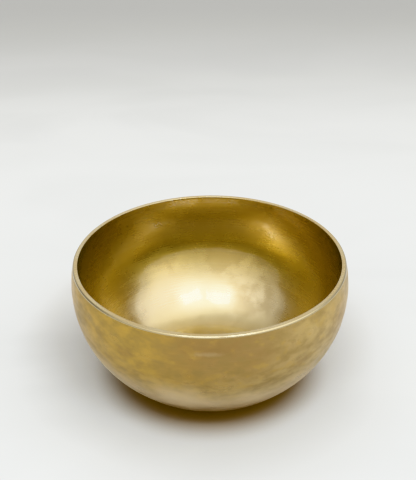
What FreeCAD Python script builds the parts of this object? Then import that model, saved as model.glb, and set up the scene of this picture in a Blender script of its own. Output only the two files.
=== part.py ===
"""A singing bowl: one piece of hammered bell metal, open at the top, standing on its own flat base.

The metal is one shell of revolution. From the flat base the outside turns up through a tight foot arc,
a long lower wall and a rounder belly, which leans back in to a flat filed lip. The inside follows the
outside at the thickness of the wall, and the metal thickens through the belly to its full width at the
lip, where a bowl is struck and rubbed. The origin is the centre of the flat base, with +Z up the axis
of the bowl, in millimetres.
"""

import FreeCAD, Part  # noqa: E401  Part can only be imported after FreeCAD
import math
import os

import Sketcher

# Driving dimensions, in millimetres. Each becomes one cell of the spreadsheet.
DIMENSIONS = {
    "bowl_height": 88.0,
    "rim_radius": 90.0,
    "widest_radius": 91.8,
    "base_flat_radius": 37.0,
    "foot_arc_radius": 38.0,
    "lower_wall_radius": 102.0,
    "belly_arc_radius": 78.0,
    "wall_thickness": 2.5,
    "lip_thickness": 3.1,
    "lip_outer_round": 1.3,
    "lip_inner_round": 0.4,
}

# Where the arcs of the outside meet, in degrees below the horizontal as seen from each arc's centre.
# They only start the sketch near its answer: the constraints settle the true angles.
FOOT_TO_WALL_DEG = 50.0
WALL_TO_BELLY_DEG = 41.0
BELLY_TO_RIM_DEG = -12.5
STRAIGHT_DOWN_DEG = 90.0

# The arcs of the outside whose radii are driven, by the name of the cell that drives each.
ARC_RADII = {
    "foot_arc_radius": "foot_outside",
    "lower_wall_radius": "wall_outside",
    "belly_arc_radius": "belly_outside",
}

START, END, CENTRE = 1, 2, 3  # the points of an arc or a line, as Sketcher counts them
V_AXIS, ORIGIN_POINT = -2, (-1, 1)
HALF_A_MICRON = 0.0005
TURN_DEG = 360.0
CUBIC_MM_PER_CM = 1000.0


def make_sheet(doc):
    """Writes the driving dimensions into a spreadsheet, one named cell each."""
    sheet = doc.addObject("Spreadsheet::Sheet", "Dimensions")
    for row, (alias, value) in enumerate(DIMENSIONS.items(), start=1):
        sheet.set(f"A{row}", alias)
        sheet.set(f"B{row}", str(value))
        sheet.setAlias(f"B{row}", alias)
    doc.recompute()
    return sheet


def origin_plane(body, role):
    """The body's own origin plane with that role, such as XZ_Plane."""
    return next(f for f in body.Origin.OriginFeatures if f.Role == role)


def arc(centre, radius, from_deg, to_deg):
    """A counter-clockwise arc in the sketch, between two angles below the horizontal."""
    circle = Part.Circle(FreeCAD.Vector(*centre, 0), FreeCAD.Vector(0, 0, 1), radius)
    return Part.ArcOfCircle(circle, -math.radians(from_deg), -math.radians(to_deg))


def next_centre(centre, radius, next_radius, angle_deg):
    """The centre of the arc that takes over at angle_deg with next_radius, tangent to the last one."""
    step, angle = radius - next_radius, -math.radians(angle_deg)
    return (centre[0] + step * math.cos(angle), centre[1] + step * math.sin(angle))


def line(start, end):
    return Part.LineSegment(FreeCAD.Vector(*start, 0), FreeCAD.Vector(*end, 0))


def draw_section(sketch, size):
    """Draws the half section of the bowl near its final place and returns each edge's index by name."""
    foot_radius, wall_radius = size["foot_arc_radius"], size["lower_wall_radius"]
    belly_radius, thick = size["belly_arc_radius"], size["wall_thickness"]
    rim, height = size["rim_radius"], size["bowl_height"]
    foot = (size["base_flat_radius"], foot_radius)
    wall = next_centre(foot, foot_radius, wall_radius, FOOT_TO_WALL_DEG)
    belly = next_centre(wall, wall_radius, belly_radius, WALL_TO_BELLY_DEG)
    foot_span = (STRAIGHT_DOWN_DEG, FOOT_TO_WALL_DEG)
    wall_span = (FOOT_TO_WALL_DEG, WALL_TO_BELLY_DEG)
    belly_span = (WALL_TO_BELLY_DEG, BELLY_TO_RIM_DEG)
    edges = {
        "base": line((0, 0), (foot[0], 0)),
        "foot_outside": arc(foot, foot_radius, *foot_span),
        "wall_outside": arc(wall, wall_radius, *wall_span),
        "belly_outside": arc(belly, belly_radius, *belly_span),
        "lip": line((rim, height), (rim - size["lip_thickness"], height)),
        "belly_inside": arc(belly, belly_radius - thick, *belly_span),
        "wall_inside": arc(wall, wall_radius - thick, *wall_span),
        "foot_inside": arc(foot, foot_radius - thick, *foot_span),
        "floor": line((foot[0], thick), (0, thick)),
        "axis": line((0, thick), (0, 0)),
    }
    return {name: sketch.addGeometry(edge, False) for name, edge in edges.items()}


def constrain_section(sketch, edge):
    """Joins the edges of the half section and ties its sizes to the spreadsheet."""

    def add(*words):
        return sketch.addConstraint(Sketcher.Constraint(*words))

    def drive(name, value, *words, formula=None):
        """A measured constraint with a name of its own, worked out by the spreadsheet."""
        sketch.renameConstraint(add(*words, value), name)
        sketch.setExpression(f"Constraints.{name}", formula or f"Dimensions.{name}")

    size = DIMENSIONS
    add("Coincident", edge["base"], START, *ORIGIN_POINT)
    add("Horizontal", edge["base"])
    add("Tangent", edge["base"], END, edge["foot_outside"], START)
    add("Tangent", edge["foot_outside"], END, edge["wall_outside"], START)
    add("Tangent", edge["wall_outside"], END, edge["belly_outside"], START)
    add("Coincident", edge["belly_outside"], END, edge["lip"], START)
    add("Horizontal", edge["lip"])
    add("Coincident", edge["lip"], END, edge["belly_inside"], END)
    add("Tangent", edge["belly_inside"], START, edge["wall_inside"], END)
    add("Tangent", edge["wall_inside"], START, edge["foot_inside"], END)
    add("Tangent", edge["foot_inside"], START, edge["floor"], START)
    add("Horizontal", edge["floor"])
    add("PointOnObject", edge["floor"], END, V_AXIS)
    add("Coincident", edge["floor"], END, edge["axis"], START)
    add("Coincident", edge["axis"], END, edge["base"], START)
    for part in ("foot", "wall"):
        add("Coincident", edge[f"{part}_inside"], CENTRE, edge[f"{part}_outside"], CENTRE)
    add("Horizontal", edge["belly_inside"], CENTRE, edge["belly_outside"], CENTRE)

    for name, part in ARC_RADII.items():
        drive(name, size[name], "Radius", edge[part])
    from_axis = ("DistanceX", *ORIGIN_POINT)
    from_base = ("DistanceY", *ORIGIN_POINT)
    drive("base_flat_radius", size["base_flat_radius"], *from_axis, edge["base"], END)
    drive("rim_radius", size["rim_radius"], *from_axis, edge["lip"], START)
    drive("bowl_height", size["bowl_height"], *from_base, edge["lip"], START)
    drive("wall_thickness", size["wall_thickness"], *from_base, edge["floor"], END)
    lip_ends = (edge["lip"], END, edge["lip"], START)
    drive("lip_thickness", size["lip_thickness"], "DistanceX", *lip_ends)
    drive(
        "belly_axis_offset",
        size["widest_radius"] - size["belly_arc_radius"],
        *from_axis,
        edge["belly_outside"],
        CENTRE,
        formula="Dimensions.widest_radius - Dimensions.belly_arc_radius",
    )


def lip_edge(shape, height, outermost):
    """The name of the lip's outer or inner edge: the widest or narrowest circle at that height."""
    found = [
        (edge.Curve.Radius, f"Edge{number}")
        for number, edge in enumerate(shape.Edges, start=1)
        if isinstance(edge.Curve, Part.Circle)
        and abs(edge.BoundBox.ZMax - height) < HALF_A_MICRON
        and edge.BoundBox.ZLength < HALF_A_MICRON
    ]
    return max(found)[1] if outermost else min(found)[1]


def round_edge(doc, body, base, name, height, outermost, size_alias):
    """Rounds one circular edge of the body's last feature to the size in that cell."""
    fillet = body.newObject("PartDesign::Fillet", name)
    fillet.Base = (base, [lip_edge(base.Shape, height, outermost)])
    fillet.setExpression("Radius", f"Dimensions.{size_alias}")
    doc.recompute()
    return fillet


def make_bowl(doc):
    """The bowl: its half section turned once round the axis, with both edges of the lip rounded."""
    body = doc.addObject("PartDesign::Body", "Bowl")
    body.Label = "bowl"
    sketch = body.newObject("Sketcher::SketchObject", "HalfSection")
    sketch.AttachmentSupport = (origin_plane(body, "XZ_Plane"), [""])
    sketch.MapMode = "FlatFace"
    constrain_section(sketch, draw_section(sketch, DIMENSIONS))
    doc.recompute()
    if sketch.solve() != 0 or not sketch.FullyConstrained:
        raise RuntimeError("the half section isn't solved or isn't fully constrained")

    turned = body.newObject("PartDesign::Revolution", "TurnedShell")
    turned.Profile = sketch
    turned.ReferenceAxis = (sketch, ["V_Axis"])
    turned.Angle = TURN_DEG
    doc.recompute()

    height = DIMENSIONS["bowl_height"]
    outer = round_edge(doc, body, turned, "LipOuterRound", height, True, "lip_outer_round")
    round_edge(doc, body, outer, "LipInnerRound", height, False, "lip_inner_round")
    return body


def check(doc, bodies):
    """Stops if any object failed to compute, or any sub-part isn't one valid solid."""
    for item in doc.Objects:
        if "Invalid" in item.State or "Error" in item.State:
            raise RuntimeError(f"{item.Label} failed to compute: {item.State}")
    for body in bodies:
        shape = body.Shape
        if shape.isNull() or not shape.isValid() or len(shape.Solids) != 1:
            raise RuntimeError(f"{body.Label} isn't one valid solid")


def report(body):
    """Prints the sizes that the section's constraints settle."""
    shape = body.Shape
    box = shape.optimalBoundingBox(False, False)
    print(f"{body.Label}: {box.XLength:.2f} x {box.YLength:.2f} x {box.ZLength:.2f} mm")
    print(f"volume {shape.Volume / CUBIC_MM_PER_CM:.1f} cm3, lowest point at {box.ZMin:.4f} mm")


def main():
    doc = FreeCAD.newDocument("SingingBowl")
    make_sheet(doc)
    bodies = [make_bowl(doc)]
    doc.recompute()
    check(doc, bodies)
    os.makedirs("parts", exist_ok=True)
    for body in bodies:
        body.Shape.exportStep(f"parts/{body.Label}.step")
        report(body)


main()
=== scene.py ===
"""The looks of a singing bowl: one hammered shell of bell metal, on a plain pale cloth under soft light.

The bowl is one piece. Its half section is the same chain of arcs as the CAD's, spun round the axis as
three strips: the hammered outside, the filed lip and the polished inside. The strips are merged into one
closed shell, and then hammered: each blow presses a shallow hollow into the metal. The shell's own
attributes say how deep each point was pressed and how far along the section it lies, and the finishes
read them, so that patina gathers in the hollows and the polishing marks run round the bowl.
"""

import math
import random

import bmesh
import bpy
from mathutils import Matrix, Vector
from mathutils.kdtree import KDTree


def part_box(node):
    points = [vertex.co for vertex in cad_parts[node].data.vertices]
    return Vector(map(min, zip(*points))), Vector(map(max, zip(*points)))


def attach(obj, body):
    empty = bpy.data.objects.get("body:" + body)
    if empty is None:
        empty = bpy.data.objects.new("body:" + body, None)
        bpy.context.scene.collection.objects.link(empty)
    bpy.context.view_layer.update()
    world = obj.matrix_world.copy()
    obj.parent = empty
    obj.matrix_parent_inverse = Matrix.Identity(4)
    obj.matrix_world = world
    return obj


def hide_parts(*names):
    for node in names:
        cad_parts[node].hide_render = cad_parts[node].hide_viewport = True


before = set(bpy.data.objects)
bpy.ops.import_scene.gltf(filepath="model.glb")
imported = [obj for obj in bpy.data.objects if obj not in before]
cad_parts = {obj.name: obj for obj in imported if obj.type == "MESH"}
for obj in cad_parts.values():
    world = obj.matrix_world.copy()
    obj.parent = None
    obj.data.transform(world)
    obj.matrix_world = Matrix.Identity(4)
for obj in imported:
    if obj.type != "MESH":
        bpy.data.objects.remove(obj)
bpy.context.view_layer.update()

bl_info = {
    "name": "Hammered Singing Bowl",
    "version": (1, 0, 0),
    "blender": (4, 5, 0),
    "location": "View3D > Sidebar > Singing Bowl",
    "description": "Models and finishes a hand-hammered bell-metal singing bowl",
    "category": "Add Mesh",
}

MM = 0.001
TURN = 2.0 * math.pi
QUARTER_TURN = math.pi / 2.0
WELD = 1e-5  # vertices nearer than this are one
SECTORS = 24  # sectors of the bowl, each a copy of the first
HALVINGS = 60  # steps that home in on the inner belly's centre
HOLLOW_OVERLAP = 0.8  # share of a blow's depth that adds to the blows before it
HORIZON_DIMNESS = 0.5  # brightness of the room at the horizon, as a share of its height's
COAT_IOR = 1.5

BOWL_LOW, BOWL_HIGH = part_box("bowl")
BODY = "root"

# The strips of the shell, which are also the places of their finishes on the piece.
OUTSIDE, LIP, INSIDE = 0, 1, 2

# Attributes of the shell that the finishes read.
HOLLOW = "hollow"
ALONG = "along_section"

# Soft pools of light in the room: bearing from +X, height and spread in degrees, strength, tint.
SOFT_LIGHTS = (
    (-15.0, 25.0, 60.0, 0.62, (0.97, 1.0, 1.04)),
    (-135.0, 25.0, 55.0, 0.40, (1.0, 0.97, 0.90)),
    (-85.0, 28.0, 62.0, 0.75, (1.0, 1.0, 1.0)),
    (-72.0, 55.0, 28.0, 0.42, (1.0, 1.0, 1.0)),
    (-25.0, 48.0, 42.0, 0.90, (1.0, 1.0, 1.0)),
    (-155.0, 52.0, 38.0, 0.42, (1.0, 0.99, 0.96)),
    (90.0, 25.0, 60.0, 0.60, (1.0, 0.98, 0.93)),
    (0.0, 90.0, 60.0, 0.42, (1.0, 1.0, 1.0)),
)

# The pair of ceiling panels: name, width, and distance to the right of the bowl.
PANELS = (
    ("panel_right", 0.44, 0.42),
    ("panel_left", 0.56, -0.17),
)
PANEL_DEPTH, PANEL_FORWARD, PANEL_RISE = 0.18, 0.78, 1.22

# The painted glint in front under the rim, in the same terms as a stain.
PAINTED_GLINT = (-91.0, 76.0 * MM, 13.0 * MM, 2.4 * MM, 0.14)
STAIN_EDGE, GLINT_EDGE = 0.45, 0.2

# Brown stains on the outside, the first of them a painted dark reflection in front under the rim:
# bearing in degrees, height, half width and half height in metres, amount.
STAINS_AND_SHADE = (
    (-90.0, 80.0 * MM, 24.0 * MM, 8.0 * MM, 0.50),
    (-70.0, 74.0 * MM, 11.0 * MM, 6.0 * MM, 0.25),
    (-125.0, 66.0 * MM, 10.0 * MM, 5.0 * MM, 0.35),
    (-52.0, 56.0 * MM, 8.0 * MM, 5.0 * MM, 0.30),
    (-22.0, 66.0 * MM, 22.0 * MM, 15.0 * MM, 0.38),
    (35.0, 70.0 * MM, 16.0 * MM, 7.0 * MM, 0.45),
    (110.0, 58.0 * MM, 14.0 * MM, 8.0 * MM, 0.40),
    (165.0, 76.0 * MM, 12.0 * MM, 5.0 * MM, 0.45),
)


# ---------------------------------------------------------------- sizes and colours


def length(name, description, default, low=0.0, high=1.0):
    """A size in metres that a user can change."""
    return bpy.props.FloatProperty(
        name=name, description=description, default=default, min=low, max=high,
        precision=4, subtype="DISTANCE", unit="LENGTH",
    )


def share(name, description, default, high=1.0):
    """A plain factor from nothing up to high."""
    return bpy.props.FloatProperty(
        name=name, description=description, default=default, min=0.0, max=high,
        subtype="FACTOR",
    )


def colour(name, description, default):
    """A scene-linear colour."""
    return bpy.props.FloatVectorProperty(
        name=name, description=description, default=default, size=3, min=0.0, max=1.0,
        subtype="COLOR",
    )


def angle(name, description, degrees):
    """An angle that is shown in degrees."""
    return bpy.props.FloatProperty(
        name=name, description=description, default=math.radians(degrees),
        subtype="ANGLE", unit="ROTATION",
    )


def count(name, description, default, high):
    """A whole number from nothing up to high."""
    return bpy.props.IntProperty(
        name=name, description=description, default=default, min=0, max=high
    )


class BowlShape(bpy.types.PropertyGroup):
    """The half section of the bowl and how evenly it was raised."""

    bowl_height: length("Height", "From the base to the top of the lip", BOWL_HIGH.z)
    widest_radius: length("Widest radius", "Radius of the belly at its widest", BOWL_HIGH.x)
    rim_radius: length("Rim radius", "Outer radius of the lip", 90.0 * MM)
    base_flat_radius: length("Base radius", "Radius of the flat the bowl stands on", 37.0 * MM)
    foot_arc_radius: length("Foot arc", "Radius of the turn from base to wall", 38.0 * MM)
    lower_wall_radius: length("Wall arc", "Radius of the lower wall", 102.0 * MM)
    belly_arc_radius: length("Belly arc", "Radius of the belly up to the lip", 78.0 * MM)
    wall_thickness: length("Wall", "Thickness of the base and the walls", 2.5 * MM)
    lip_thickness: length("Lip", "Thickness of the metal at the lip", 3.1 * MM)
    lower_swell: length("Lower swell", "Extra metal left inside the lower wall", 0.7 * MM)
    upper_thinning: length("Upper thinning", "Metal hammered away inside the belly", 0.45 * MM)
    shoulder_height: length("Shoulder", "Height at which the swell gives way", 41.0 * MM)
    shoulder_reach: length("Shoulder reach", "Half the height that it takes", 11.0 * MM)
    lip_outer_round: length("Outer lip edge", "Rounding of the lip's outer edge", 1.3 * MM)
    lip_inner_round: length("Inner lip edge", "Rounding of the lip's inner edge", 0.4 * MM)
    row_spacing: length("Row spacing", "Distance between rows of the mesh", 1.45 * MM, 0.5 * MM)
    segments: count("Segments", "Faces round the bowl, in whole sectors", 336, 720)
    out_of_round: length("Out of round", "How far the wall wanders from a true circle", 0.3 * MM)
    belly_lean: length("Belly lean", "How far the lower wall sits to one side", 0.5 * MM)


class HammerWork(bpy.types.PropertyGroup):
    """The blows that shaped the shell."""

    outside_spacing: length("Outside spacing", "Distance between outside blows", 9.0 * MM, MM)
    outside_depth: length("Outside depth", "Depth of the deepest outside blow", 0.20 * MM)
    inside_spacing: length("Inside spacing", "Distance between inside blows", 13.0 * MM, MM)
    inside_depth: length("Inside depth", "Depth of the deepest inside blow", 0.07 * MM)
    blow_radius: length("Blow radius", "Radius of the largest hollow", 8.0 * MM, MM)
    seed: count("Seed", "Picks where the blows fall", 7, 1000)


class MetalFinish(bpy.types.PropertyGroup):
    """The colours and the polish of the bell metal."""

    outside_gold: colour("Outside gold", "Rubbed metal on the outside", (0.52, 0.345, 0.095))
    outside_pale: colour("Outside pale", "Paler, pinker metal on the outside", (0.55, 0.41, 0.19))
    # Painted reflection: the beige round the foot stands for the lit cloth reflected there, and the same
    # colour paints a glint in front.
    outside_painted_reflection: colour("Outside low", "Beige metal round the foot", (0.79, 0.64, 0.405))
    outside_patina: colour("Outside patina", "Patina left in the hollows", (0.33, 0.235, 0.095))
    # Stains, and the painted dark reflection in front under the rim.
    outside_stain_and_shade: colour("Outside stain", "Brown stains under the rim", (0.315, 0.20, 0.085))
    inside_gold: colour("Inside gold", "Polished metal on the inside", (0.44, 0.320, 0.078))
    # Partly rubbed metal, partly a painted highlight low down inside.
    inside_pale_and_highlight: colour("Inside pale", "Metal rubbed pale low down inside", (0.65, 0.555, 0.355))
    # Patina and stains, with painted shade high up inside and towards +X.
    inside_patina_and_shade: colour(
        "Inside patina", "Brown metal high up inside and in its stains", (0.26, 0.162, 0.028)
    )
    lip_metal: colour("Lip", "Fresh metal on the filed lip", (0.56, 0.465, 0.26))
    lip_edge: colour("Lip edge", "Darker metal on the lip's rounded outer edge", (0.50, 0.415, 0.235))
    outside_roughness: share("Outside roughness", "How matt the outside is", 0.34)
    inside_roughness: share("Inside roughness", "How matt the inside is", 0.26)
    lip_roughness: share("Lip roughness", "How matt the filed lip is", 0.30)
    brushing: share("Brushing", "How far the polishing marks draw the shine out", 0.20)
    burnish: share("Burnish", "How strongly the burnished skin of the inside shines", 1.0)
    burnish_roughness: share("Burnish roughness", "How matt the burnished skin is", 0.07)


class StudioSettings(bpy.types.PropertyGroup):
    """The cloth, the lights and the camera round the bowl."""

    cloth_colour: colour("Cloth", "The pale cloth the bowl stands on", (0.665, 0.66, 0.635))
    # Painted shade: the far cloth colour darkens the cloth where the light falls away and close round
    # the bowl.
    cloth_far: colour("Far cloth", "The cloth where the light falls away", (0.37, 0.365, 0.345))
    # Painted shadow: the cloth's golden shade under the bowl, with the golden light that the bowl throws
    # there, is painted into its colour.
    cloth_painted_shadow: colour("Glow", "The cloth in the golden shade under the bowl", (0.16, 0.085, 0.0))
    cloth_radius: length("Cloth radius", "Radius of the cloth", 3.0, 0.5, 20.0)
    room_colour: colour("Room", "Colour of the light from all round", (1.0, 0.99, 0.97))
    room_strength: share("Room strength", "Brightness of the room", 0.40, 10.0)
    pool_strength: share("Pool strength", "Brightness of the soft pools of light", 1.0, 10.0)
    panel_colour: colour("Panel colour", "Cool daylight of the ceiling panels", (0.72, 0.84, 1.0))
    panel_power: bpy.props.FloatProperty(
        name="Panel power", description="Power of the pair of ceiling panels, in watts",
        default=5.4, min=0.0, max=1000.0, unit="POWER",
    )
    camera_distance: length("Camera distance", "From the rim's centre", 0.726, 0.1, 10.0)
    camera_elevation: angle("Camera elevation", "Above the plane of the rim", 31.06)
    camera_turn: angle("Camera turn", "To the left of the rim's centre", 0.07)
    camera_tilt: angle("Camera tilt", "Above the rim's centre", 0.95)
    camera_roll: angle("Camera roll", "Clockwise about the line of sight", 0.51)
    camera_lens: bpy.props.FloatProperty(
        name="Lens", description="Focal length in millimetres on a 36 mm sensor",
        default=82.5, min=1.0, max=500.0,
    )


# ---------------------------------------------------------------- the section


def meeting_point(centre_a, reach_a, centre_b, reach_b):
    """The point at both distances from two centres, on the side of the bowl's axis."""
    a, b = Vector(centre_a), Vector(centre_b)
    apart = b - a
    along = (reach_a**2 - reach_b**2 + apart.length_squared) / (2.0 * apart.length)
    across = math.sqrt(reach_a**2 - along**2)
    middle = a + apart.normalized() * along
    offset = Vector((-apart.y, apart.x)).normalized() * across
    return min(middle + offset, middle - offset, key=lambda point: point.x)


def direction(point, centre):
    """The angle at which a point lies as seen from a centre."""
    return math.atan2(point[1] - centre[1], point[0] - centre[0])


def arc(centre, radius, start, end, spacing):
    """Points along an arc of the section, from one angle to another, both ends included."""
    steps = max(2, round(abs(end - start) * radius / spacing))
    turns = [start + (end - start) * i / steps for i in range(steps + 1)]
    return [
        (centre[0] + radius * math.cos(t), centre[1] + radius * math.sin(t)) for t in turns
    ]


def straight(start, end, spacing):
    """Points along a straight stretch of the section, both ends included."""
    start, end = Vector(start), Vector(end)
    steps = max(1, round((end - start).length / spacing))
    return [tuple(start.lerp(end, i / steps)) for i in range(steps + 1)]


def chain(*stretches):
    """Joins stretches that start where the last one ended."""
    points = list(stretches[0])
    for stretch in stretches[1:]:
        points.extend(stretch[1:])
    return points


def wall_arcs(shape, inset, lip_radius):
    """The centres and radii of the foot, wall and belly arcs, set in from the outside by inset."""
    foot = (shape.base_flat_radius, shape.foot_arc_radius)
    outer_belly_x = shape.widest_radius - shape.belly_arc_radius
    rim_rise = math.sqrt(shape.belly_arc_radius**2 - (shape.rim_radius - outer_belly_x) ** 2)
    belly_z = shape.bowl_height - rim_rise
    outer_belly = (outer_belly_x, belly_z)
    wall = meeting_point(
        foot, shape.lower_wall_radius - shape.foot_arc_radius,
        outer_belly, shape.lower_wall_radius - shape.belly_arc_radius,
    )
    foot_radius = shape.foot_arc_radius - inset
    wall_radius = shape.lower_wall_radius - inset
    if inset == 0.0:
        return (foot, foot_radius), (wall, wall_radius), (outer_belly, shape.belly_arc_radius)
    # The inner belly keeps the outer one's height, touches the inner wall and ends at the lip.
    # Both conditions give its radius in terms of its centre's distance from the axis.
    drop, rise = wall.y - belly_z, shape.bowl_height - belly_z

    def miss(x):
        to_wall = math.hypot(wall.x - x, drop)
        return (wall_radius - to_wall) - math.hypot(lip_radius - x, rise)

    low, high = wall.x, lip_radius
    for _ in range(HALVINGS):
        middle = (low + high) / 2.0
        if miss(low) * miss(middle) <= 0.0:
            high = middle
        else:
            low = middle
    belly = (low, belly_z)
    return (foot, foot_radius), (wall, wall_radius), (belly, math.hypot(lip_radius - low, rise))


def wall_line(shape, inset, lip_radius, top):
    """The section's line from the flat's edge up to the height top, set in by inset."""
    (foot, foot_r), (wall, wall_r), (belly, belly_r) = wall_arcs(shape, inset, lip_radius)
    foot_end = direction(foot, wall)
    wall_end = direction(belly, wall)
    belly_end = math.asin((top - belly[1]) / belly_r)
    return chain(
        arc(foot, foot_r, -QUARTER_TURN, foot_end, shape.row_spacing),
        arc(wall, wall_r, foot_end, wall_end, shape.row_spacing),
        arc(belly, belly_r, wall_end, belly_end, shape.row_spacing),
    )


def lip_line(shape, outer_start, inner_end):
    """Over the lip: its rounded outer edge, the filed flat and its rounded inner edge."""
    top = shape.bowl_height
    outer, inner = shape.lip_outer_round, shape.lip_inner_round
    outer_centre = (outer_start[0] - outer, top - outer)
    inner_centre = (inner_end[0] + inner, top - inner)
    fine = shape.row_spacing / 6.0
    over_outer = arc(outer_centre, outer, 0.0, QUARTER_TURN, fine)
    over_inner = arc(inner_centre, inner, QUARTER_TURN, 2.0 * QUARTER_TURN, fine)
    flat = straight(over_outer[-1], over_inner[0], shape.row_spacing / 3.0)
    return chain([outer_start], over_outer, flat, over_inner, [over_inner[-1], inner_end])


def ease(value, low, high):
    """Rises smoothly from 0 at low to 1 at high."""
    share = max(0.0, min(1.0, (value - low) / (high - low)))
    return share * share * (3.0 - 2.0 * share)


def with_shoulder(shape, line):
    """The inside's line as hammering left it: fuller low down, and thinner in the belly."""
    height, reach = shape.shoulder_height, shape.shoulder_reach
    worked = []
    for radius, z in line:
        rise = ease(z, height - reach, height + reach)
        shift = shape.upper_thinning * rise - shape.lower_swell * (1.0 - rise)
        shift *= ease(z, 2.0 * shape.wall_thickness, height / 2.0)
        shift *= ease(z, shape.bowl_height, shape.bowl_height - 10.0 * MM)
        worked.append((radius + shift, z))
    return worked


def section(shape):
    """The three strips of the half section, each a line of (radius, height) points."""
    inset = shape.wall_thickness
    outer_top = shape.bowl_height - shape.lip_outer_round
    inner_top = shape.bowl_height - shape.lip_inner_round
    lip_inner_radius = shape.rim_radius - shape.lip_thickness
    outer_wall = wall_line(shape, 0.0, shape.rim_radius, outer_top)
    inner_wall = wall_line(shape, inset, lip_inner_radius, inner_top)
    base = straight((0.0, 0.0), outer_wall[0], 2.0 * shape.row_spacing)
    floor = straight((0.0, inset), inner_wall[0], 2.0 * shape.row_spacing)
    return {
        OUTSIDE: chain(base, outer_wall),
        LIP: lip_line(shape, outer_wall[-1], inner_wall[-1]),
        INSIDE: chain(floor, with_shoulder(shape, inner_wall)),
    }


# ---------------------------------------------------------------- the shell


def spin_points(bm, line, segments, along_layer):
    """Spins the points of a line round the axis, and returns them as sectors of columns."""
    start = len(bm.verts)
    verts, travelled, last = [], 0.0, None
    for radius, height in line:
        vert = bm.verts.new((radius, 0.0, height))
        travelled += (vert.co - last).length if last is not None else 0.0
        last = vert.co.copy()
        vert[along_layer] = travelled
        verts.append(vert)
    steps = segments // SECTORS
    turned = {"cent": (0.0, 0.0, 0.0), "axis": (0.0, 0.0, 1.0), "use_duplicate": True}
    # One sector is spun and then copied round, which is much quicker than one long spin.
    bmesh.ops.spin(bm, geom=verts, angle=TURN / SECTORS, steps=steps, **turned)
    rest = TURN * (SECTORS - 1) / SECTORS
    bmesh.ops.spin(bm, geom=list(bm.verts)[start:], angle=rest, steps=SECTORS - 1, **turned)
    points, rows = list(bm.verts)[start:], len(line)
    columns = [points[i : i + rows] for i in range(0, len(points), rows)]
    return [columns[i : i + steps + 1] for i in range(0, len(columns), steps + 1)]


def spin_strip(bm, line, strip, segments, along_layer):
    """Spins one line of the section round the axis and marks its faces with their strip."""
    # A spin would make the faces too, but in an order that changes from run to run.
    for sector in spin_points(bm, line, segments, along_layer):
        for column, following in zip(sector, sector[1:]):
            for corners in zip(column, following, following[1:], column[1:]):
                face = bm.faces.new(corners)
                face.material_index = strip
                face.smooth = True


def strip_verts(bm, strip):
    """The vertices that only faces of that strip use."""
    return [v for v in bm.verts if all(f.material_index == strip for f in v.link_faces)]


def press_hollows(verts, hollow_layer, normals, spots):
    """Presses a round hollow into the metal at each spot: (place, radius, depth)."""
    tree = KDTree(len(verts))
    for i, vert in enumerate(verts):
        tree.insert(vert.co, i)
    tree.balance()
    deepest = max(depth for _, _, depth in spots)
    depths = [0.0] * len(verts)
    for place, radius, depth in spots:
        for _, i, distance in tree.find_range(place, radius):
            fall = (1.0 - (distance / radius) ** 2) ** 2
            depths[i] += depth * fall * HOLLOW_OVERLAP
    for vert, depth in zip(verts, depths):
        vert.co -= normals[vert] * depth
        vert[hollow_layer] = min(1.0, depth / deepest)


def hammer_spots(line, top, spacing, largest, deepest, dice):
    """Blows in rough rings round a strip: (place, radius, depth) for each, up to a height."""
    spots, travelled, next_ring = [], 0.0, spacing / 2.0
    for (radius, height), (next_radius, next_height) in zip(line, line[1:]):
        step = math.hypot(next_radius - radius, next_height - height)
        travelled += step
        if travelled < next_ring or height > top or radius < spacing:
            continue
        next_ring += spacing
        blows = round(TURN * radius / spacing)
        start = dice.uniform(0.0, TURN)
        for i in range(blows):
            around = start + TURN * (i + dice.uniform(-0.35, 0.35)) / blows
            shift = dice.uniform(-0.35, 0.35) * spacing / step
            reach = radius + shift * (next_radius - radius)
            rise = height + shift * (next_height - height)
            place = Vector((reach * math.cos(around), reach * math.sin(around), rise))
            depth = deepest * dice.uniform(0.25, 1.0) ** 1.5
            spots.append((place, largest * dice.uniform(0.6, 1.0), depth))
    return spots


def wander(shape, place):
    """How far a raised wall strays from its true circle at a place: always inwards or level."""
    around = math.atan2(place.y, place.x)
    height = place.z / shape.bowl_height
    sway = 0.5 * math.cos(2.0 * around + 0.7) + 0.3 * math.cos(3.0 * around + 2.1)
    sway += 0.2 * math.cos(5.0 * around - 0.4 + 2.0 * height)
    return shape.out_of_round * (sway - 1.0) * math.sin(math.pi * min(1.0, height + 0.2) / 1.4)


def make_shell(shape, hammer):
    """The whole bowl as one closed hammered shell."""
    if shape.segments < SECTORS or shape.segments % SECTORS:
        raise ValueError(f"the segments round the bowl must be a multiple of {SECTORS}")
    bm = bmesh.new()
    along = bm.verts.layers.float.new(ALONG)
    hollow = bm.verts.layers.float.new(HOLLOW)
    lines = section(shape)
    for strip, line in lines.items():
        spin_strip(bm, line, strip, shape.segments, along)
    bmesh.ops.remove_doubles(bm, verts=bm.verts, dist=WELD)
    bmesh.ops.recalc_face_normals(bm, faces=bm.faces)
    bm.normal_update()
    normals = {vert: vert.normal.copy() for vert in bm.verts}

    dice = random.Random(hammer.seed)
    for strip, spacing, depth in (
        (OUTSIDE, hammer.outside_spacing, hammer.outside_depth),
        (INSIDE, hammer.inside_spacing, hammer.inside_depth),
    ):
        top = shape.bowl_height - hammer.blow_radius
        spots = hammer_spots(lines[strip], top, spacing, hammer.blow_radius, depth, dice)
        press_hollows(strip_verts(bm, strip), hollow, normals, spots)

    for vert in bm.verts:
        out = Vector((vert.co.x, vert.co.y, 0.0))
        if out.length > shape.base_flat_radius:
            vert.co += out.normalized() * wander(shape, vert.co)
            lean = math.sin(math.pi * vert.co.z / shape.bowl_height)
            vert.co.x += shape.belly_lean * lean * (vert.co.x > 0.0) * vert.co.x / out.length
    return bm


def keep_in_box(bm, low, high):
    """Draws in any vertex that strayed past the CAD model's box."""
    for vert in bm.verts:
        vert.co = Vector(
            max(least, min(most, c)) for c, least, most in zip(vert.co, low, high)
        )


# ---------------------------------------------------------------- finishes


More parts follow.
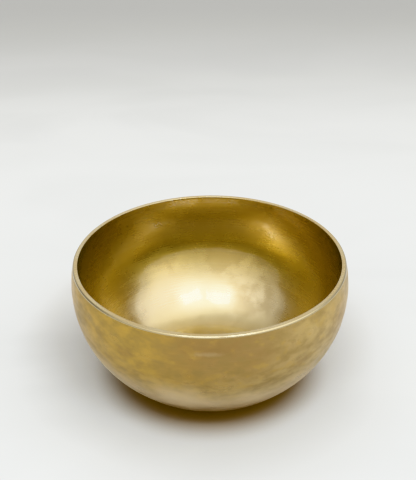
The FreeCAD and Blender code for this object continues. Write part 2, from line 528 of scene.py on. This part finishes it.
class Nodes:
    """Adds nodes to one tree and joins them, so that a finish reads as a recipe."""

    def __init__(self, tree, space):
        self.tree = tree
        self.place = tree.nodes.new("ShaderNodeTexCoord").outputs[space]

    def attribute(self, name):
        node = self.tree.nodes.new("ShaderNodeAttribute")
        node.attribute_name = name
        return node.outputs["Fac"]

    def math(self, operation, first, second=0.0, clamp=False):
        node = self.tree.nodes.new("ShaderNodeMath")
        node.operation, node.use_clamp = operation, clamp
        for socket, value in zip(node.inputs, (first, second)):
            self.feed(socket, value)
        return node.outputs[0]

    def feed(self, socket, value):
        """Links an output to a socket, or sets the socket to a plain value."""
        if isinstance(value, bpy.types.NodeSocket):
            self.tree.links.new(value, socket)
        else:
            socket.default_value = value

    def scaled(self, stretch, along=None):
        """The place on the bowl stretched along each axis, or with the section's length as Z."""
        node = self.tree.nodes.new("ShaderNodeMapping")
        node.inputs["Scale"].default_value = stretch
        if along is None:
            self.feed(node.inputs["Vector"], self.place)
            return node.outputs[0]
        split = self.tree.nodes.new("ShaderNodeSeparateXYZ")
        self.feed(split.inputs[0], self.place)
        join = self.tree.nodes.new("ShaderNodeCombineXYZ")
        self.feed(join.inputs[0], split.outputs[0])
        self.feed(join.inputs[1], split.outputs[1])
        self.feed(join.inputs[2], along)
        self.feed(node.inputs["Vector"], join.outputs[0])
        return node.outputs[0]

    def axis(self, number):
        """One coordinate of the place on the bowl: 0 for X, 1 for Y, 2 for Z."""
        node = self.tree.nodes.new("ShaderNodeSeparateXYZ")
        self.feed(node.inputs[0], self.place)
        return node.outputs[number]

    def reach(self):
        """The distance from the bowl's axis."""
        node = self.tree.nodes.new("ShaderNodeVectorMath")
        node.operation = "LENGTH"
        self.feed(node.inputs[0], self.scaled((1.0, 1.0, 0.0)))
        return node.outputs["Value"]

    def patch(self, bearing, radius, height, wide, tall, ragged=0.0):
        """An oval mark on the wall, 1 in its middle: its place, half sizes and how ragged it is."""
        turn = math.radians(bearing)
        node = self.tree.nodes.new("ShaderNodeMapping")
        node.vector_type = "TEXTURE"
        node.inputs["Location"].default_value = (
            radius * math.cos(turn), radius * math.sin(turn), height,
        )
        node.inputs["Rotation"].default_value = (0.0, 0.0, turn)
        node.inputs["Scale"].default_value = (max(wide, tall), wide, tall)
        self.feed(node.inputs["Vector"], self.place)
        reach = self.tree.nodes.new("ShaderNodeVectorMath")
        reach.operation = "LENGTH"
        self.feed(reach.inputs[0], node.outputs[0])
        edge = self.noise(self.place, 0.8 / max(tall, 2.0 * MM), 3.0, 0.6)
        shift = self.between(edge, 0.2, 0.8, -ragged, ragged)
        return self.between(self.math("ADD", reach.outputs["Value"], shift), 1.0, 0.1)

    def noise(self, vector, scale, detail=2.0, roughness=0.5, distortion=0.0):
        node = self.tree.nodes.new("ShaderNodeTexNoise")
        self.feed(node.inputs["Vector"], vector)
        node.inputs["Scale"].default_value = scale
        node.inputs["Detail"].default_value = detail
        node.inputs["Roughness"].default_value = roughness
        node.inputs["Distortion"].default_value = distortion
        return node.outputs[0]

    def between(self, value, low, high, to_low=0.0, to_high=1.0):
        """Maps low..high to to_low..to_high, smoothly and without overshoot."""
        node = self.tree.nodes.new("ShaderNodeMapRange")
        node.interpolation_type = "SMOOTHSTEP"
        self.feed(node.inputs["Value"], value)
        for name, number in (
            ("From Min", low), ("From Max", high), ("To Min", to_low), ("To Max", to_high),
        ):
            node.inputs[name].default_value = number
        return node.outputs[0]

    def blend(self, factor, first, second, kind="MIX"):
        """Mixes two colours."""
        node = self.tree.nodes.new("ShaderNodeMix")
        node.data_type, node.blend_type = "RGBA", kind
        self.feed(node.inputs[0], factor)
        self.feed(node.inputs[6], opaque(first))
        self.feed(node.inputs[7], opaque(second))
        return node.outputs[2]

    def bump(self, height, distance, strength, under=None):
        node = self.tree.nodes.new("ShaderNodeBump")
        self.feed(node.inputs["Height"], height)
        node.inputs["Distance"].default_value = distance
        node.inputs["Strength"].default_value = strength
        if under is not None:
            self.feed(node.inputs["Normal"], under)
        return node.outputs[0]

    def radial_tangent(self):
        """The direction round the bowl's axis."""
        node = self.tree.nodes.new("ShaderNodeTangent")
        node.direction_type, node.axis = "RADIAL", "Z"
        return node.outputs[0]

    def towards(self, bearing, height):
        """How nearly each direction of the world points to a bearing and a height in degrees."""
        turn, rise = math.radians(bearing), math.radians(height)
        node = self.tree.nodes.new("ShaderNodeVectorMath")
        node.operation = "DOT_PRODUCT"
        self.feed(node.inputs[0], self.place)
        node.inputs[1].default_value = (
            math.cos(turn) * math.cos(rise), math.sin(turn) * math.cos(rise), math.sin(rise),
        )
        return node.outputs["Value"]


class Finish(Nodes):
    """The recipe of one material, which reads its place on the object."""

    def __init__(self, name):
        self.material = bpy.data.materials.new(name)
        self.material.use_nodes = True
        super().__init__(self.material.node_tree, "Object")

    def done(self, **inputs):
        """Sets the shader's inputs by name, with _ for a space."""
        shader = self.tree.nodes["Principled BSDF"]
        for name, value in inputs.items():
            self.feed(shader.inputs[name.replace("_", " ")], value)
        return self.material


def opaque(value):
    """A colour with its alpha, or a link left as it is."""
    return value if isinstance(value, bpy.types.NodeSocket) else (*value, 1.0)


def hammered_outside(metal):
    """Satin gold, browner in front under the rim with a painted dark reflection, and with a painted
    reflection of the lit cloth round the foot, mottled with patina.
    """
    n = Finish("hammered_outside")
    along, hollow = n.attribute(ALONG), n.attribute(HOLLOW)
    clouds = n.noise(n.place, 14.0, 3.0, 0.55, 0.4)
    drift = n.noise(n.scaled((24.0, 24.0, 40.0), along), 1.0, 3.0, 0.6, 0.5)
    blotches = n.noise(n.scaled((75.0, 75.0, 140.0), along), 1.0, 3.0, 0.55, 0.1)
    mottle = n.noise(n.scaled((125.0, 125.0, 170.0), along), 1.0, 2.0, 0.5)
    specks = n.noise(n.place, 420.0, 3.0, 0.6)
    rubbing = n.noise(n.scaled((26.0, 26.0, 620.0), along), 1.0, 3.0, 0.65)

    # The gold drifts paler to one side and in soft clouds.
    side = n.between(n.axis(0), -70.0 * MM, 80.0 * MM, -0.25, 0.55)
    side = n.math("ADD", side, n.between(clouds, 0.35, 0.65, 0.0, 0.5), clamp=True)
    tone = n.blend(side, metal.outside_gold, metal.outside_pale)
    tone = n.blend(n.between(drift, 0.50, 0.68, 0.0, 0.55), tone, metal.outside_patina)
    tone = n.blend(n.between(drift, 0.46, 0.30, 0.0, 0.40), tone, metal.outside_gold)
    # It browns towards the rim, most of all in the middle of the front and the back: partly stain, and
    # in the middle of the front a painted dark reflection.
    off_middle = n.math("ABSOLUTE", n.math("SUBTRACT", n.axis(0), 8.0 * MM))
    brown = n.between(n.axis(2), 36.0 * MM, 74.0 * MM, 0.0, 0.8)
    brown = n.math("MULTIPLY", brown, n.between(off_middle, 62.0 * MM, 12.0 * MM))
    tone = n.blend(brown, tone, metal.outside_stain_and_shade)

    # Patina lies in blotches, in the hammered hollows, in a finer mottle and in specks.
    grey = n.between(blotches, 0.40, 0.76)
    grey = n.math("MULTIPLY", grey, n.between(clouds, 0.3, 0.6, 0.45, 0.65))
    grey = n.math("ADD", grey, n.math("MULTIPLY", hollow, 0.22), clamp=True)
    tone = n.blend(grey, tone, metal.outside_patina)
    tone = n.blend(n.between(mottle, 0.46, 0.70, 0.0, 0.45), tone, metal.outside_patina)
    tone = n.blend(n.between(mottle, 0.45, 0.28, 0.0, 0.35), tone, metal.outside_gold)
    tone = n.blend(n.between(specks, 0.60, 0.75, 0.0, 0.25), tone, metal.outside_patina)
    tone = n.blend(n.between(rubbing, 0.55, 0.75, 0.0, 0.14), tone, metal.outside_pale)
    # The first stain, in front under the rim, is a painted dark reflection.
    for bearing, height, wide, tall, amount in STAINS_AND_SHADE:
        stain = n.patch(bearing, BOWL_HIGH.x, height, wide, tall, STAIN_EDGE)
        tone = n.blend(n.math("MULTIPLY", stain, amount), tone, metal.outside_stain_and_shade)

    # A painted reflection of the lit cloth lies round the foot, behind an uneven edge, and a painted
    # glint lies in front under the rim.
    low = n.math("ADD", n.axis(2), n.between(clouds, 0.3, 0.7, -8.0 * MM, 8.0 * MM))
    tone = n.blend(n.between(low, 54.0 * MM, 24.0 * MM, 0.0, 0.9), tone, metal.outside_painted_reflection)
    bearing, height, wide, tall, amount = PAINTED_GLINT
    glint = n.patch(bearing, BOWL_HIGH.x, height, wide, tall, GLINT_EDGE)
    tone = n.blend(n.math("MULTIPLY", glint, amount), tone, metal.outside_painted_reflection)

    base = metal.outside_roughness
    rough = n.between(blotches, 0.3, 0.7, base - 0.05, base + 0.07)
    rough = n.math("ADD", rough, n.between(rubbing, 0.35, 0.65, -0.03, 0.03))
    relief = n.bump(blotches, 0.30 * MM, 0.30)
    relief = n.bump(rubbing, 0.05 * MM, 0.4, relief)
    relief = n.bump(specks, 0.05 * MM, 0.35, relief)
    return n.done(Base_Color=tone, Metallic=1.0, Roughness=rough, Normal=relief)


def polished_inside(metal):
    """Burnished gold with faint turned lines and soft stains, pale low down, partly a painted highlight,
    and brown high up and to one side, partly painted shade.
    """
    n = Finish("polished_inside")
    along, hollow = n.attribute(ALONG), n.attribute(HOLLOW)
    clouds = n.noise(n.place, 15.0, 3.0, 0.5, 0.3)
    mottle = n.noise(n.place, 55.0, 3.0, 0.55)
    brushing = n.noise(n.scaled((9.0, 9.0, 900.0), along), 1.0, 3.0, 0.6)
    lines = n.noise(n.scaled((3.0, 3.0, 330.0), along), 1.0, 1.0, 0.5)

    # The lower wall is paler, less so on the floor: partly rubbed metal, partly a painted highlight.
    rubbed = n.between(along, 106.0 * MM, 66.0 * MM)
    rubbed = n.math("MULTIPLY", rubbed, n.between(clouds, 0.25, 0.6, 0.55, 1.0))
    rubbed = n.math("MULTIPLY", rubbed, n.between(along, 40.0 * MM, 84.0 * MM, 0.5, 1.0))
    tone = n.blend(rubbed, metal.inside_gold, metal.inside_pale_and_highlight)
    stain = n.between(clouds, 0.50, 0.68, 0.0, 0.42)
    stain = n.math("MULTIPLY", stain, n.between(mottle, 0.42, 0.62))
    stain = n.math("ADD", stain, n.math("MULTIPLY", hollow, 0.10), clamp=True)
    tone = n.blend(stain, tone, metal.inside_patina_and_shade)

    # It browns towards the rim, partly patina and partly painted shade, and painted shade browns the
    # wall towards +X.
    high = n.between(n.axis(2), 46.0 * MM, 76.0 * MM)
    high = n.math("MULTIPLY", high, n.between(n.axis(0), 0.0, 80.0 * MM, 0.75, 1.0))
    tone = n.blend(high, tone, metal.inside_patina_and_shade)
    side = n.between(n.axis(0), 48.0 * MM, 88.0 * MM, 0.0, 0.65)
    tone = n.blend(side, tone, metal.inside_patina_and_shade)
    tone = n.blend(n.between(brushing, 0.52, 0.8, 0.0, 0.10), tone, metal.inside_pale_and_highlight)

    base = metal.inside_roughness
    rough = n.between(mottle, 0.3, 0.7, base - 0.02, base + 0.04)
    rough = n.math("ADD", rough, n.between(brushing, 0.35, 0.65, -0.015, 0.015))
    rough = n.math("ADD", rough, n.between(along, 72.0 * MM, 40.0 * MM, 0.0, 0.20))
    relief = n.bump(lines, 0.05 * MM, 0.35)
    relief = n.bump(brushing, 0.02 * MM, 0.35, relief)
    return n.done(
        Base_Color=tone, Metallic=1.0, Roughness=rough, Normal=relief,
        Anisotropic=metal.brushing, Anisotropic_Rotation=0.25, Tangent=n.radial_tangent(),
        Coat_Weight=metal.burnish, Coat_Roughness=metal.burnish_roughness, Coat_IOR=COAT_IOR,
    )


def filed_lip(metal):
    """Bright filed metal with fine marks across it, and a smoother, darker outer edge."""
    n = Finish("filed_lip")
    marks = n.noise(n.scaled((900.0, 900.0, 60.0)), 1.0, 3.0, 0.6)
    clouds = n.noise(n.place, 45.0, 2.0)
    tone = n.blend(n.between(clouds, 0.35, 0.65, 0.0, 0.5), metal.lip_metal, metal.outside_gold)
    tone = n.blend(n.between(marks, 0.55, 0.75, 0.0, 0.3), tone, metal.outside_patina)
    outer = n.between(n.reach(), BOWL_HIGH.x - 3.3 * MM, BOWL_HIGH.x - 2.5 * MM)
    tone = n.blend(outer, tone, metal.lip_edge)
    rough = n.between(marks, 0.3, 0.7, metal.lip_roughness - 0.06, metal.lip_roughness + 0.1)
    rough = n.math("SUBTRACT", rough, n.math("MULTIPLY", outer, 0.16))
    relief = n.bump(marks, 0.04 * MM, 0.5)
    return n.done(
        Base_Color=tone, Metallic=1.0, Roughness=rough, Normal=relief,
        Coat_Weight=metal.burnish, Coat_Roughness=metal.burnish_roughness, Coat_IOR=COAT_IOR,
    )


def pale_cloth(stage):
    """A plain pale cloth with a faint unevenness, and painted shade far behind and close round the bowl.
    """
    n = Finish("pale_cloth")
    folds = n.noise(n.scaled((1.0, 2.2, 1.0)), 3.5, 3.0, 0.5, 0.6)
    shade = tuple(0.93 * c for c in stage.cloth_colour)
    tone = n.blend(n.between(folds, 0.4, 0.65), stage.cloth_colour, shade)
    # Painted shade: it darkens far behind the bowl and close round it, and a painted golden shadow lies
    # under the bowl.
    near = n.between(n.reach(), 160.0 * MM, 72.0 * MM, 0.0, 0.50)
    away = n.math("ADD", n.between(n.axis(1), 0.20, 0.82), near, clamp=True)
    tone = n.blend(away, tone, stage.cloth_far)
    # Painted shadow: golden under the bowl, where the bowl's shade and its golden light are painted.
    tone = n.blend(n.between(n.reach(), 84.0 * MM, 52.0 * MM), tone, stage.cloth_painted_shadow)
    weave = n.noise(n.place, 900.0, 2.0, 0.6)
    return n.done(Base_Color=tone, Roughness=0.9, Normal=n.bump(weave, 0.1 * MM, 0.3))


# ---------------------------------------------------------------- operators


class SINGINGBOWL_OT_bowl(bpy.types.Operator):
    """Models the hammered shell and gives it its three finishes"""

    bl_idname = "singing_bowl.bowl"
    bl_label = "Bowl"

    def execute(self, context):
        scene = context.scene
        bm = make_shell(scene.bowl_shape, scene.hammer_work)
        keep_in_box(bm, BOWL_LOW, BOWL_HIGH)
        mesh = bpy.data.meshes.new("hammered_bowl")
        bm.to_mesh(mesh)
        bm.free()
        for finish in (hammered_outside, filed_lip, polished_inside):
            mesh.materials.append(finish(scene.metal_finish))
        piece = bpy.data.objects.new("hammered_bowl", mesh)
        scene.collection.objects.link(piece)
        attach(piece, BODY)
        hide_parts("bowl")
        return {"FINISHED"}


def add_panel(scene, name, size, place, target, tint, power):
    """A flat soft light that faces a target and that the camera doesn't see."""
    light = bpy.data.lights.new(name, "AREA")
    light.shape, light.size, light.size_y = "RECTANGLE", size[0], size[1]
    light.color, light.energy = tint, power
    panel = bpy.data.objects.new(name, light)
    aim = Vector(target) - Vector(place)
    turn = aim.to_track_quat("-Z", "Y").to_matrix().to_4x4()
    panel.matrix_world = Matrix.Translation(place) @ turn
    panel.visible_camera = False
    scene.collection.objects.link(panel)


def add_camera(scene, stage, target):
    """The camera, on an arm from the rim's centre, turned slightly off it."""
    camera = bpy.data.cameras.new("camera")
    camera.lens, camera.sensor_width, camera.sensor_fit = stage.camera_lens, 36.0, "AUTO"
    camera.clip_start, camera.clip_end = 0.01, 100.0
    view = bpy.data.objects.new("camera", camera)
    rise = Matrix.Rotation(QUARTER_TURN - stage.camera_elevation, 4, "X")
    arm = Matrix.Translation(target) @ rise
    back = Matrix.Translation((0.0, 0.0, stage.camera_distance))
    turn = Matrix.Rotation(stage.camera_turn, 4, "Y")
    tilt = Matrix.Rotation(stage.camera_tilt, 4, "X")
    roll = Matrix.Rotation(-stage.camera_roll, 4, "Z")
    view.matrix_world = arm @ back @ turn @ tilt @ roll
    scene.collection.objects.link(view)
    scene.camera = view


def add_room(scene, stage):
    """Light from all round, dimmer at the horizon, with soft pools where the room is brighter."""
    world = bpy.data.worlds.new("room")
    world.use_nodes = True
    n = Nodes(world.node_tree, "Generated")
    bright = tuple(stage.room_strength * part for part in stage.room_colour)
    dim = tuple(HORIZON_DIMNESS * part for part in bright)
    light = n.blend(n.between(n.axis(2), -0.1, 0.45), dim, bright)
    for bearing, height, spread, strength, tint in SOFT_LIGHTS:
        edge = math.cos(math.radians(spread))
        peak = strength * stage.pool_strength
        pool = n.between(n.towards(bearing, height), edge, 1.0, 0.0, peak)
        light = n.blend(pool, light, tint, "ADD")
    n.feed(n.tree.nodes["Background"].inputs["Color"], light)
    scene.world = world


class SINGINGBOWL_OT_stage(bpy.types.Operator):
    """Lays the cloth and sets up the lights and the camera"""

    bl_idname = "singing_bowl.stage"
    bl_label = "Stage"

    def execute(self, context):
        scene, stage = context.scene, context.scene.studio_settings
        bm = bmesh.new()
        bmesh.ops.create_circle(bm, cap_ends=True, segments=96, radius=stage.cloth_radius)
        mesh = bpy.data.meshes.new("cloth")
        bm.to_mesh(mesh)
        bm.free()
        mesh.materials.append(pale_cloth(stage))
        cloth = bpy.data.objects.new("cloth", mesh)
        scene.collection.objects.link(cloth)

        add_room(scene, stage)
        middle = (0.0, 0.0, BOWL_HIGH.z / 2.0)
        for name, wide, right in PANELS:
            size, place = (wide, PANEL_DEPTH), (right, -PANEL_FORWARD, PANEL_RISE)
            add_panel(
                scene, name, size, place, middle, stage.panel_colour, stage.panel_power
            )
        add_camera(scene, stage, (0.0, 0.0, BOWL_HIGH.z))
        scene.view_settings.view_transform = "Khronos PBR Neutral"
        return {"FINISHED"}


class SINGINGBOWL_PT_panel(bpy.types.Panel):
    """Lists the steps that make the bowl and its stage"""

    bl_idname = "SINGINGBOWL_PT_panel"
    bl_label = "Singing Bowl"
    bl_space_type = "VIEW_3D"
    bl_region_type = "UI"
    bl_category = "Singing Bowl"

    def draw(self, context):
        for operator in OPERATORS:
            self.layout.operator(operator.bl_idname)
        for name in SETTINGS:
            box = self.layout.box()
            group = getattr(context.scene, name)
            for prop in group.__annotations__:
                box.prop(group, prop)


SETTINGS = {
    "bowl_shape": BowlShape,
    "hammer_work": HammerWork,
    "metal_finish": MetalFinish,
    "studio_settings": StudioSettings,
}
OPERATORS = (SINGINGBOWL_OT_bowl, SINGINGBOWL_OT_stage)


def register():
    for group in SETTINGS.values():
        bpy.utils.register_class(group)
    for name, group in SETTINGS.items():
        setattr(bpy.types.Scene, name, bpy.props.PointerProperty(type=group))
    for operator in OPERATORS:
        bpy.utils.register_class(operator)
    bpy.utils.register_class(SINGINGBOWL_PT_panel)


def unregister():
    bpy.utils.unregister_class(SINGINGBOWL_PT_panel)
    for operator in reversed(OPERATORS):
        bpy.utils.unregister_class(operator)
    for name, group in reversed(SETTINGS.items()):
        delattr(bpy.types.Scene, name)
        bpy.utils.unregister_class(group)


def main():
    register()
    bpy.ops.singing_bowl.bowl()
    bpy.ops.singing_bowl.stage()


if __name__ == "__main__":
    main()
